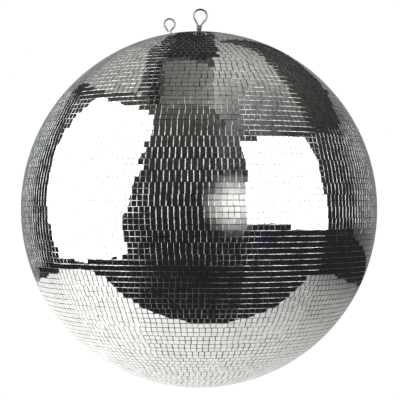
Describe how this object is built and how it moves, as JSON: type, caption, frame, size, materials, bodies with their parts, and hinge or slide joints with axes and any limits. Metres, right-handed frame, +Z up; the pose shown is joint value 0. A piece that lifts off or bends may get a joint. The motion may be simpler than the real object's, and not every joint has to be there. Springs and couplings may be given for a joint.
{
  "type": "mirror ball",
  "caption": "Large mirror ball of small square glass tiles in level rows on a plastic core, hung by a pear-shaped steel ring that folds sideways on its clevis pin, with a second safety eye.",
  "frame": {"origin": "where the ball's own axis meets the inside of the hanging ring's bow, at the point a hook carries it", "axes": "+Z up along the ball's axis towards the hook, +X the side the hanging ring leans to, safety eye on -X, +Y along the clevis pin"},
  "size_m": [0.75, 0.75, 0.8017],
  "materials": {
    "mirror_glass": "polished silvered glass",
    "black_abs": "moulded",
    "nylon": "moulded",
    "polished_steel": "polished",
    "yellow_zinc": "turned, dull yellow passivated zinc",
    "bright_zinc": "bright zinc plated",
    "plain_steel": "zinc plated",
    "rivet_aluminium": "as drawn"
  },
  "bodies": {
    "ball": {"bottom_anchor_plate": "plain_steel", "bottom_plate_nuts": "plain_steel", "bottom_plate_screws": "plain_steel", "bottom_weld_nut": "plain_steel", "cap_washer": "bright_zinc", "centre_rod": "plain_steel", "clevis_pin": "bright_zinc", "equator_hoop": "black_abs", "hanger_clevis": "yellow_zinc", "hoop_rivets_lower": "rivet_aluminium", "hoop_rivets_upper": "rivet_aluminium", "lower_shell": "black_abs", "mirror_rows_01": "mirror_glass", "mirror_rows_02": "mirror_glass", "mirror_rows_03": "mirror_glass", "mirror_rows_04": "mirror_glass", "mirror_rows_05": "mirror_glass", "mirror_rows_06": "mirror_glass", "mirror_rows_07": "mirror_glass", "mirror_rows_08": "mirror_glass", "mirror_rows_09": "mirror_glass", "mirror_rows_10": "mirror_glass", "mirror_rows_11": "mirror_glass", "mirror_rows_12": "mirror_glass", "mirror_rows_13": "mirror_glass", "rod_coupler": "plain_steel", "safety_eye": "bright_zinc", "safety_eye_inner_washer": "plain_steel", "safety_eye_lock_nut": "plain_steel", "safety_eye_nut": "bright_zinc", "spacer_tube": "plain_steel", "stud_lock_nut": "plain_steel", "stud_washer": "plain_steel", "top_load_plate": "plain_steel", "top_plate_nuts": "plain_steel", "top_plate_screws": "plain_steel", "tube_bush_bottom": "nylon", "tube_bush_top": "nylon", "upper_shell": "black_abs"},
    "ring": {"hanging_ring": "polished_steel"}
  },
  "joints": [
    {"name": "ring_swing", "type": "hinge", "parent": "ball", "child": "ring", "pos_m": [0, 0, -0.03656], "axis": [0, 1, 0], "range_deg": [-84, 72]}
  ]
}
